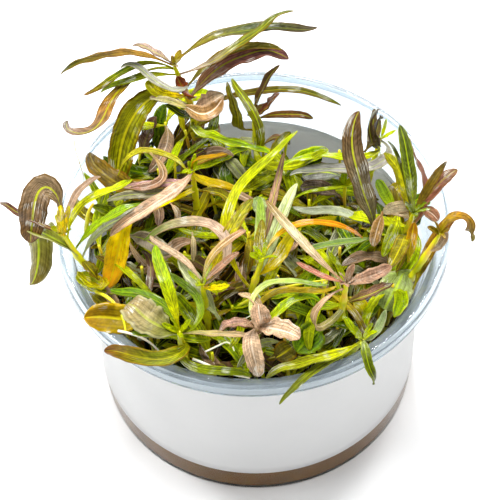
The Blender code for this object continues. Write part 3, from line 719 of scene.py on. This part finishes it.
# The small leaves that stand out over the crowd: younger ones near the tips of the same shoots, and
# old ones that have faded. They are of the same flesh as the large leaves.
SMALL_STEPS = 22
SMALL_LEAVES = {
    # shoot: height on the stem, then the same as for the large leaves
    "back_left": [
        (71, 225, 50, 30, -60, 15, 14, 2.4, "pink cream", "#b59778 #ba9d80 #ac9478"),
        (75, 236, 40, 20, -70, -100, 15, 3.4, "bright green", "#f0cc0e #cabc07 #a6a305"),
        (67, 306, 50, 15, -225, 95, 14, 2.0, "mid green", "#495a03 #3d5204 #374a00"),
        (85, 154, 20, 60, 120, -130, 27, 1.6, "olive", "#899113 #65800a #774e13"),
        (83, 189, 20, 65, -5, -15, 22, 2.0, "mid green", "#a0a006 #7b8a06 #687a06"),
        (79, 321, 45, 50, -360, 270, 26, 1.8, "grey green", "#a3a29d #98958d #81847d"),
        (87, 165, 40, 55, -35, 45, 12, 1.8, "purple brown", "#9f897a #9f8980 #8c776a"),
        (77, 17, 60, 85, 5, -35, 30, 2.8, "olive", "#9b913a #898030 #776f2b"),
    ],
    "back": [
        (71, 351, 35, 80, 25, 0, 17, 1.8, "purple brown", "#7a5324 #674320 #553618"),
        (72, 317, 50, -15, 85, -55, 13, 2.6, "purple brown", "#8c4c28 #7a3f20 #673620"),
        (67, 193, 20, -140, 170, -75, 23, 2.5, "olive", "#89800a #7c7a0a #655e0a"),
        (63, 256, 5, -45, 165, -80, 32, 2.4, "bright green", "#b6bc02 #a3ab05 #92a305"),
    ],
    "left": [
        (69, 307, 20, 95, 5, 50, 7, 3.0, "olive", "#89800a #776f0a #655e0a"),
        (61, 337, 15, -55, -230, 50, 18, 2.8, "bright green", "#ddc405 #b6ab05 #928d05"),
        (79, 263, 40, -125, 15, -15, 12, 2.0, "bright green", "#f0cc07 #d3bc07 #b6a305"),
        (79, 11, 70, -15, 25, -5, 11, 2.0, "bright green", "#f0cc07 #d3bc07 #b6a305"),
        (79, 72, 70, 105, -25, -10, 20, 1.6, "pink cream", "#b59b7c #b59780 #ac8e78"),
        (69, 67, 35, 65, -75, 85, 23, 2.0, "grey green", "#a3ad7d #999c87 #888a7d"),
    ],
    "middle": [
        (63, 197, 25, 5, -40, -60, 33, 5.5, "olive", "#7c7410 #786410 #6c540c"),
        (74, 297, 30, 50, 75, -35, 15, 1.2, "yellow", "#e5d40e #d4bb0a #bb990a"),
        (75, 316, 100, 155, 70, 40, 15, 1.0, "yellow", "#d4a113 #c3900e #aa770e"),
        (71, 214, 30, 45, -50, 15, 19, 2.0, "purple brown", "#b88f90 #af868a #9f7d78"),
        (69, 225, 25, 35, -80, 60, 24, 2.0, "grey green", "#b2a685 #a39c7d #928f76"),
        (65, 196, 25, 40, 0, 0, 23, 2.0, "mid green", "#495a03 #3d5204 #374a00"),
    ],
    "centre": [
        (73, 335, 45, 0, 140, -115, 17, 3.0, "yellow", "#f4df06 #e5d40e #d4cc1d"),
        (67, 69, 40, 30, 10, -5, 36, 1.8, "purple brown", "#9f8960 #9f7d68 #8c6c58"),
        (69, 48, 55, 40, 30, -25, 28, 2.6, "grey green", "#d4e1a5 #dce9b4 #d4dcac"),
        (73, 81, 35, 25, 5, 10, 20, 2.4, "grey green", "#c4e060 #b8d45c #a0c044"),
        (75, 92, 60, 45, -30, 30, 13, 2.4, "olive", "#aca213 #9b910e #89800e"),
    ],
    "inner_left": [
        (76, 68, 70, 105, -60, 55, 20, 1.7, "pink cream", "#c0b31b #c09f6b #ba8e75"),
        (76, 29, 40, 65, 25, -5, 13, 1.5, "pink cream", "#c69b80 #c2977c #ba8e74"),
        (74, 317, 35, 75, 95, 25, 8, 1.6, "bright green", "#fadc07 #e6d405 #cac405"),
        (71, 160, 55, 60, -70, 30, 11, 2.8, "grey green", "#dce5b4 #d4dcac #c3cb9d"),
        (75, 111, 25, 40, 70, -75, 20, 1.5, "pink cream", "#d0b498 #cbb194 #c2a78d"),
        (71, 58, 40, 35, 5, -10, 27, 3.0, "olive", "#ceb00e #aaa00e #8f910e"),
    ],
    "front_left": [
        (63, 93, 40, 70, 125, -85, 26, 2.4, "mid green", "#819a06 #688a06 #567a06"),
        (61, 246, 25, 30, 195, -120, 26, 2.0, "mid green", "#a0a808 #7b8a06 #687a06"),
        (65, 188, 35, 65, -30, -10, 13, 1.6, "mid green", "#a0b006 #7b9a06 #688a06"),
        (69, 342, 30, 50, 5, 75, 24, 1.7, "pink cream", "#acac57 #baa474 #c6a488"),
        (67, 2, 25, 35, 230, -120, 23, 1.8, "mid green", "#a0b006 #7b9a06 #688a06"),
    ],
    "front": [
        (73, 158, 135, 120, -80, 10, 8, 4.2, "pink cream", "#cbac90 #c6a78d #be9f84"),
        (71, 170, 40, 75, 20, 25, 10, 3.0, "purple brown", "#c19b80 #b88f80 #9f7d70"),
        (71, 39, 45, 50, 170, -55, 12, 1.8, "pink cream", "#bea47c #b59b78 #ac9470"),
        (71, 294, 170, 10, -250, 165, 28, 1.4, "yellow", "#f6e548 #edd43e #dcc330"),
        (72, 134, 30, 35, -270, 160, 28, 1.6, "grey green", "#e5e99d #c3d876 #99be4e"),
        (67, 5, 65, 105, 80, -135, 21, 2.4, "bright green", "#b6c405 #9ab405 #73a305"),
    ],
    "pink": [
        (77, 213, 35, 265, 10, 5, 29, 1.9, "pink cream", "#cba488 #c6ac80 #a8b14b"),
        (80, 204, 45, 75, -105, 35, 15, 1.2, "pink cream", "#c68164 #be7a64 #b57460"),
    ],
    "front_right": [
        (63, 163, 75, 80, -55, 5, 9, 2.0, "bright green", "#cad405 #adc405 #9ab405"),
        (64, 332, 45, -20, 140, -85, 12, 1.9, "grey green", "#d4e1ac #c3d89d #b2c78d"),
    ],
    "right": [
        (71, 297, 40, -30, 170, -75, 9, 1.6, "pink cream", "#b59f80 #ac977c #a48b70"),
    ],
    "right_back": [
        (73, 108, 65, 30, 0, 35, 21, 1.0, "mid green", "#686a11 #565a0e #434a0b"),
        (71, 97, 60, 35, 30, 20, 19, 3.4, "olive", "#c5b913 #aaa813 #8f9113"),
        (74, 43, 55, 35, 10, -10, 16, 2.0, "olive", "#9b801d #896f1a #654e16"),
        (71, 132, 65, 100, 75, -65, 6, 2.4, "pink cream", "#d0bd9d #cbb998 #c2b190"),
    ],
    "far_right": [
        (61, 111, 30, 35, 140, -110, 24, 2.2, "grey green", "#dce5c8 #ccd4b8 #b2baa1"),
        (63, 227, 40, 35, -45, 15, 24, 1.8, "grey green", "#92ad5e #819c56 #708a47"),
    ],
    "back_right": [
        (61, 283, 20, 15, -150, 85, 36, 1.0, "bright green", "#cacc0a #adbc07 #90ab07"),
        (61, 268, 40, -85, -105, -100, 30, 1.6, "purple brown", "#553620 #432b18 #331f14"),
        (62, 277, 35, -90, -95, -130, 25, 1.6, "purple brown", "#553620 #432b18 #331f14"),
    ],
}

small = {kind: [] for kind in LEAF_KINDS}
for shoot, rows in SMALL_LEAVES.items():
    for number, (height, *row, kind, tints) in enumerate(rows):
        foot = stem_at(shoot, height)
        small[kind].append(leaf_sheet(foot, row, tints, f"small {shoot} {number}", SMALL_STEPS))


# The curled leaves: older ones that twist back on themselves between the shoots, each followed along
# its own line, and the young tips: a tuft of short leaves that has just opened on top of each stem.
CURLED_LEAVES = [
    # kind, width, points along it, in millimetres, colours
    ("pink cream", 3.6, [(-17.9, 20.2, 86.5), (-15.9, 19.6, 86), (-12.4, 18.1, 84), (-8.9, 19.6, 84),
     (-6.7, 21.8, 86)], "#937541 #a17c4e #8c673b"),
    ("grey green", 1.5, [(-25, 22.6, 86), (-21.9, 21.6, 87), (-17.9, 20.2, 86.5), (-15.9, 19.3, 86)],
     "#b8b08c #b0a470 #a09050"),
    ("olive", 1.4, [(-34.2, 8.6, 72), (-32.4, 10.9, 76), (-28.7, 12.7, 78), (-24.4, 12.2, 78),
     (-19, 11.2, 76), (-16.6, 9.6, 73)], "#c8c820 #b0a828 #c8c830"),
    ("pink cream", 1.9, [(-25.5, 11.6, 78), (-22.5, 8, 77), (-22.1, 5.1, 75), (-26.5, 3.5, 74),
     (-30.8, 3.7, 74)], "#a18a4e #a17c62 #8c6755"),
    ("olive", 1.3, [(-17.1, 9.6, 73), (-12.7, 11.5, 74), (-9.3, 12.2, 75), (-5.8, 12.3, 75)],
     "#a89030 #8a7028 #6a5020"),
    ("yellow", 1.9, [(-16.6, 8.9, 73), (-12.4, 6.3, 72), (-7.6, 5.4, 72), (-3.6, 4.1, 71)],
     "#c8c010 #d8c020 #a89010"),
    ("bright green", 3.6, [(-37.5, -19.6, 62), (-39.9, -19.3, 63.5), (-42.4, -17.1, 64),
     (-44.8, -14.8, 63)], "#a8b010 #8f9800 #a0a808"),
    ("olive", 2.2, [(-41.4, -20.7, 63), (-39.2, -22.7, 63), (-37, -24.8, 62)], "#8a8a10 #7a7408 #6a6008"),
    ("grey green", 3.6, [(-31.8, -5.4, 66), (-28.1, -7.7, 68), (-24.6, -10.3, 68), (-21.2, -11.5, 66)],
     "#8a8068 #948878 #80785c"),
    ("grey green", 3.6, [(-9.1, -29.4, 62), (-11.5, -26.4, 64), (-13.8, -22.9, 66), (-16.2, -18.6, 67),
     (-18.4, -14.8, 67)], "#b8c088 #a0a880 #989c78"),
    ("bright green", 2.4, [(-12.3, -24, 68), (-9.5, -24.5, 69), (-6.8, -23.5, 69)],
     "#d8e010 #c8d400 #b8c800"),
    ("grey green", 3.2, [(2.2, -6.6, 74), (1.8, -5, 76), (0.7, -2.9, 77)], "#d0e0a0 #c8dca0 #b8d088"),
    ("bright green", 2.2, [(-0.6, -23, 60), (1.6, -21.5, 63), (4.2, -20.2, 68), (6.6, -17.2, 73),
     (9.2, -13.9, 75), (11.8, -12.3, 76)], "#e0e800 #d8dc00 #c4cc08"),
    ("mid green", 6.4, [(16.1, -32.2, 61), (14, -34.6, 62), (11.4, -37.1, 62), (9.6, -39, 61)],
     "#6a8c00 #5c8400 #6c9008"),
    ("olive", 5, [(9, -35.6, 59), (6.9, -38.3, 60), (4.4, -39.9, 60)], "#6c6408 #645c08 #4c4404"),
    ("bright green", 2.2, [(-2.9, -43.6, 58), (-2.8, -41.4, 60), (-3.5, -39.1, 62), (-4.9, -36.7, 62)],
     "#e0f000 #c8e000 #a8c000"),
    ("bright green", 2.4, [(-2.8, -40.8, 60), (-0.5, -38.6, 61), (2, -36.9, 61)],
     "#c8dc00 #b0cc00 #90ac00"),
    ("pink cream", 2.6, [(32.6, -5, 72), (30.9, -8.7, 70), (29.8, -12.1, 67)], "#af833b #a8834e #93713b"),
    ("pink cream", 2.8, [(41.1, -5.5, 73), (37.6, -5.2, 74), (34.9, -4.9, 73), (32.6, -5.3, 72)],
     "#af9c72 #c4b38f #beb18f"),
    ("pink cream", 2.8, [(41.8, -6, 74), (44.4, -7.3, 74), (46.2, -8.4, 72)], "#af7c62 #b6876b #a1715b"),
    ("olive", 2.8, [(39.1, -22.4, 61), (41.3, -17.9, 64), (43.9, -14.1, 68), (46.7, -11.6, 72),
     (49.4, -10.3, 76), (51.5, -10.2, 77)], "#9c9810 #a07818 #a86c20"),
    ("yellow", 2.4, [(38.3, -16.7, 66), (39.2, -12.8, 70), (40.1, -9.5, 73)], "#c8c010 #c8a010 #a87010"),
    ("pink cream", 2.4, [(-28.5, 6, 70), (-25.4, 2.7, 70), (-23.5, -0.5, 69), (-24.1, -3.4, 67)],
     "#be9f82 #b69982 #9a7c6f"),
    ("pink cream", 1.3, [(-20.8, -0.7, 73), (-19, -3.3, 73), (-18.8, -5.1, 72), (-20.2, -6.1, 70)],
     "#bea67c #af956b #a17f57"),
    ("pink cream", 1.2, [(-15.5, -6.4, 68), (-15.1, -11.1, 68), (-15.5, -14.2, 66)],
     "#c4b788 #bead7f #af9f72"),
    ("mid green", 2.8, [(-19.7, -31.1, 60), (-20.7, -26, 64), (-22.2, -19.9, 68), (-23.5, -14.9, 70)],
     "#5c7c00 #4c6c00 #3c5400"),
    ("bright green", 1.5, [(23.8, 7.9, 66), (25.4, 8.2, 68), (26.7, 8.7, 69)], "#d8e000 #c8d400 #a8b800"),
    ("bright green", 1.5, [(23.8, 7.9, 66), (23.4, 9, 68), (23.9, 10.4, 69)], "#c0d800 #a8c400 #90a800"),
    ("mid green", 1.4, [(23.8, 7.9, 66), (22.1, 8.2, 67), (20.8, 9.2, 67)], "#a0b800 #849c00 #6c8400"),
    ("purple brown", 1.6, [(29.8, 17.8, 68), (30.9, 20.3, 71), (31.8, 22.8, 74), (32.1, 25.1, 76)],
     "#7a6a3c #5c5030 #4c4028"),
    ("purple brown", 1.9, [(29.2, 17.2, 68), (31.1, 18.8, 70), (32.7, 21.1, 72), (33.3, 23.4, 74)],
     "#84703c #6a5a30 #4c4428"),
    ("purple brown", 3.4, [(22.5, 7, 63), (18.8, 9, 64), (15.5, 9.8, 64), (12.4, 10.1, 63)],
     "#8c7868 #7c6c64 #6a5c58"),
    ("mid green", 3.2, [(8.9, 14.9, 62), (11.6, 16.5, 64), (15.3, 17.6, 65), (18.4, 18.1, 65)],
     "#5a7408 #48600c #3c5010"),
    ("bright green", 3.4, [(8.5, 15.4, 64), (12.2, 16.9, 66), (16.4, 18.7, 66), (20.1, 20.6, 65)],
     "#98b800 #84a400 #789800"),
    ("olive", 2.6, [(4.4, 17.3, 66), (6.6, 19.6, 68), (8.8, 22, 69), (10.4, 23.9, 69)],
     "#7c7c10 #6c7010 #5c6010"),
    ("grey green", 4, [(23.4, 14.2, 62), (20.4, 14.9, 63), (16.7, 15.1, 63), (13.1, 14.7, 62)],
     "#788070 #8c8c88 #7c7c78"),
]
for number, (kind, width, points, tints) in enumerate(CURLED_LEAVES):
    small[kind].append(curled_sheet(points, width, tints, f"curled {number}"))

TIP_COLOURS = {
    # shoot: kind and colours, where they are not the usual bright green
    "back_left": ("olive", "#b8b018 #a09018 #8a7028"),
    "back": ("purple brown", "#a09030 #7c6430 #604830"),
    "left": ("bright green", "#d8dc10 #c4cc08 #a8b400"),
    "pink": ("pink cream", "#c7ad82 #c09c7c #b3876f"),
    "front": ("pink cream", "#c0ad7c #be9c7c #af8a6f"),
    "right": ("olive", "#c0b818 #a89018 #8c7020"),
    "right_back": ("mid green", "#a8b808 #849c08 #64780c"),
}
USUAL_TIP = ("bright green", "#dce808 #c0d000 #98b000")
TIP_LEAVES = 5
TIP_TURN = 137
TIP_STEPS = 14
for shoot, points in STEMS.items():
    kind, tints = TIP_COLOURS.get(shoot, USUAL_TIP)
    foot = stem_at(shoot, points[-1][2] - 0.6)
    for number in range(TIP_LEAVES):
        chance = random.Random(f"tip {shoot} {number}")
        row = (number * TIP_TURN + chance.uniform(-20, 20), chance.uniform(45, 80), chance.uniform(-10, 50),
            chance.uniform(-40, 40), 0, chance.uniform(2.5, 6.5), chance.uniform(0.8, 1.5))
        small[kind].append(leaf_sheet(foot, row, tints, f"tip {shoot} {number}", TIP_STEPS))

for kind, sheets in small.items():
    leaves = new_leaves("small_leaves_" + kind.replace(" ", "_"), sheets, kind)


# The strands: pale roots, thinner than a millimetre, that side shoots send out above the gel, and a few
# bare stalks that have lost their leaves.
STRAND_STEPS = 28
STRAND_SIDES = 8
STRANDS = [
    # what it is, thickness, points along it, in millimetres
    ("root", 0.7, [(-34.3, -32.9, 64), (-30.9, -33.9, 64), (-27.4, -35.5, 63.5), (-25.5, -37, 63),
     (-23.7, -38.2, 61)]),
    ("root", 0.7, [(-16, -41.3, 63), (-12.8, -43.2, 63.5), (-9.9, -45.4, 64), (-6, -47.3, 64.5),
     (-2.2, -48.7, 65)]),
    ("root", 0.35, [(-44.6, 15.1, 80), (-44.7, 15, 76), (-44, 14.2, 72), (-43.2, 12.8, 68),
     (-43.3, 13.2, 64)]),
    ("root", 0.5, [(-13.1, -37.4, 60), (-10.3, -36, 60), (-7.6, -34.4, 60), (-6.1, -35.9, 60),
     (-5.5, -38.5, 59), (-4.1, -40.6, 58)]),
    ("stem", 0.9, [(-39.9, -20.9, 64), (-37.5, -22.9, 65), (-35.5, -24.8, 65), (-34.1, -26.6, 64),
     (-32.9, -29.3, 63), (-32.5, -32.2, 62)]),
    ("stem", 1.2, [(-42.1, -6.6, 70), (-41.6, -5.7, 73), (-41.1, -4.9, 76), (-39.7, -3.9, 78)]),
    ("root", 0.5, [(0, -26.9, 70), (1.5, -26.6, 66), (0.4, -28.8, 64), (-2.7, -29.1, 62)]),
    ("stem", 0.8, [(-4.6, -26.7, 64), (1.5, -24.5, 66), (9, -23.1, 67), (18.5, -22.4, 68)]),
    ("stem", 1.6, [(-19.1, -33.1, 62), (-19, -35.6, 60), (-17.5, -37.2, 56)]),
    ("stem", 1, [(23.8, 7.9, 66), (23.6, 7.7, 62), (23.9, 7.7, 56)]),
]

root_skin, tree = new_material("root_skin")
# A young root is white and a little see-through, browner where it has dried.
here = add_node(tree, "TexCoord")
dried = add_node(tree, "TexNoise", {"Vector": here.outputs["Object"], "Scale": 350.0, "Detail": 3.0})
pale = add_node(tree, "Mix", {"Factor": dried, "A": linear("#fffdf0"), "B": linear("#d8d0a8")},
    data_type="RGBA")
root = add_node(tree, "BsdfPrincipled", {"Base Color": pale, "Roughness": 0.35, "Subsurface Weight": 0.3,
    "Subsurface Scale": 0.5 * MM})
add_node(tree, "OutputMaterial", {"Surface": root})

for what, skin_of_strand in (("root", root_skin), ("stem", stem_skin)):
    parts = []
    for kind, width, points in STRANDS:
        if kind == what:
            line, share = smooth_line(points, STRAND_STEPS)
            parts.append(tube(line, 0.5 * width * MM * (1 - 0.5 * share ** 2), STRAND_SIDES))
    vertices, faces, places = joined(parts)
    strands = new_piece(what + "_strands", vertices, faces, skin_of_strand)
    mark(strands, "leaf_place", places)


# The crowd between the shoots: dozens of thin side shoots that stand in the gel, each with pairs of
# small leaves set crosswise up its stem, green and olive at the top, and painted shade below: darker
# colours, dimmed further the lower a leaf starts.
SPRIGS = 97
SPRIG_RADIUS = 0.75 * MM
# In millimetres: how far from the middle the feet, the stems and the leaves may be, inside the body and
# inside the flange, the heights of the feet and of the highest leaves, and the room between two feet.
SPRIG_SPREAD = 39.0
STEM_LIMIT = 40.2
INNER_WALL = 41.0
LEAF_ROOM = 45.0
FOOT_HEIGHT = 12.2
CEILING = 68.0
FEET_APART = 3.8
HOLLOW_HEADING = math.radians(68)
HOLLOW_SPREAD = math.radians(34)
HOLLOW_NEAR = 31.0
HOLLOW_TOP = 45.0
SPRIG_POINTS = 15
SPRIG_SIDES = 7
TRIES = 6
FILL_STEPS = 13
FILL_LANES = np.array([-1, -0.45, 0, 0.45, 1])
TOP_COLOURS = [
    ("bright green", "#dce010 #bccc00 #9cb000"),
    ("bright green", "#ccd400 #a8c000 #84a000"),
    ("bright green", "#e4e810 #c4d004 #a8b404"),
    ("bright green", "#c8d80c #a0bc08 #7c9c04"),
    ("mid green", "#a0b408 #789400 #587800"),
    ("mid green", "#88a400 #648800 #486800"),
    ("mid green", "#a4b404 #7c9000 #5c7000"),
    ("olive", "#a8a414 #8c8408 #6c640c"),
    ("olive", "#b0a018 #8c7c10 #645010"),
    ("yellow", "#e0dc10 #ccc408 #a8980c"),
    ("pink cream", "#ba9f6f #ba997c #a48368"),
    ("purple brown", "#84703c #745440 #583c34"),
    ("grey green", "#b4b87c #a0a474 #84885c"),
]
# Darker colours for the leaves low in the crowd: painted shade.
PAINTED_SHADE_COLOURS = [
    ("mid green", "#404c00 #303e00 #202c00"),
    ("mid green", "#506000 #3a4a00 #263400"),
    ("olive", "#504c04 #403a02 #2c2600"),
    ("olive", "#5c4004 #463006 #2e1e04"),
    ("purple brown", "#4a3418 #3a2614 #281a10"),
]

chance = random.Random(41)


def in_hollow(x, y):
    """Whether a place in millimetres is in the gap at the back, where the tub's wall shows."""
    away = (math.atan2(y, x) - HOLLOW_HEADING + math.pi) % (2 * math.pi) - math.pi
    return abs(away) < HOLLOW_SPREAD and math.hypot(x, y) > HOLLOW_NEAR


def has_room(vertices):
    """Whether a leaf stays inside the tub, out of the hollow, and neither too high nor in the gel."""
    places = vertices / MM
    reach = np.hypot(places[:, 0], places[:, 1])
    room = np.interp(places[:, 2], (49, 55, 61, 65), (INNER_WALL - 0.6, LEAF_ROOM - 2, LEAF_ROOM, 49))
    if (reach > room).any() or places[:, 2].max() > CEILING or places[:, 2].min() < 14:
        return False
    return not any(in_hollow(x, y) and z > HOLLOW_TOP for x, y, z in places[::7])


crowd = {kind: [] for kind in LEAF_KINDS}
sprigs = []
feet = []
while len(feet) < SPRIGS:
    reach, heading = SPRIG_SPREAD * math.sqrt(chance.random()), chance.uniform(0, 2 * math.pi)
    foot = np.array([reach * math.cos(heading), reach * math.sin(heading), FOOT_HEIGHT])
    if any(math.dist(foot, other) < FEET_APART for other in feet):
        continue
    feet.append(foot)
    lean = min(8.0, 41.5 - reach) * chance.uniform(0.0, 1.0)
    height = chance.uniform(48, 67) - 0.1 * max(0, reach - 25)
    if in_hollow(*foot[:2]):
        height = chance.uniform(38, HOLLOW_TOP)
    tip = foot + np.array([lean * math.cos(heading), lean * math.sin(heading), height - FOOT_HEIGHT])
    bow = np.array([chance.uniform(-3, 3), chance.uniform(-3, 3), 0])
    share = np.linspace(0, 1, SPRIG_POINTS)
    line = foot + (tip - foot) * share[:, None] + bow * (np.sin(math.pi * share))[:, None]
    line[:, :2] *= np.minimum(1, STEM_LIMIT / np.maximum(1, np.hypot(line[:, 0], line[:, 1])))[:, None]
    radii = np.linspace(SPRIG_RADIUS, 0.5 * SPRIG_RADIUS, SPRIG_POINTS)
    sprigs.append(tube(line * MM, radii, SPRIG_SIDES))
    bearing = chance.uniform(0, 360)
    node = 0.34 + 0.1 * chance.random()
    while node < 1.0:
        bearing += 90 + chance.uniform(-20, 20)
        start_at = np.array([np.interp(node, share, line[:, axis]) for axis in range(3)])
        pairs = 2 if node < 0.93 else 3
        for side in range(pairs):
            for attempt in range(TRIES):
                length = chance.uniform(13, 27) * (0.7 if node > 0.93 else 1.0)
                row = (bearing + side * 360 / pairs + chance.uniform(-22, 22), chance.uniform(15, 65),
                    chance.uniform(10, 110), chance.uniform(-90, 90), chance.uniform(-60, 60), length,
                    chance.uniform(1.3, 3.4))
                # A leaf low in the crowd takes one of the darker colours: painted shade.
                shade = start_at[2] < chance.uniform(38, 50)
                kind, tints = chance.choice(PAINTED_SHADE_COLOURS if shade else TOP_COLOURS)
                seed = f"fill {len(feet)} {node:.3f} {side} {attempt}"
                sheet = leaf_sheet(start_at * MM, row, tints, seed, FILL_STEPS, FILL_LANES)
                if has_room(sheet[0]):
                    # Painted shade: the lower a leaf starts, the darker its tints.
                    painted_shade_tints = sheet[3] * np.interp(start_at[2], (42, 64), (0.36, 1.0))
                    crowd[kind].append((*sheet[:3], painted_shade_tints))
                    break
        node += chance.uniform(0.09, 0.16)

vertices, faces, places = joined(sprigs)
side_stems = new_piece("side_stems", vertices, faces, stem_skin)
mark(side_stems, "leaf_place", places)
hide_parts("inner_leaves")
for kind, sheets in crowd.items():
    if sheets:
        leaves = new_leaves("crowd_leaves_" + kind.replace(" ", "_"), sheets, kind)
        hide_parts("inner_leaves")
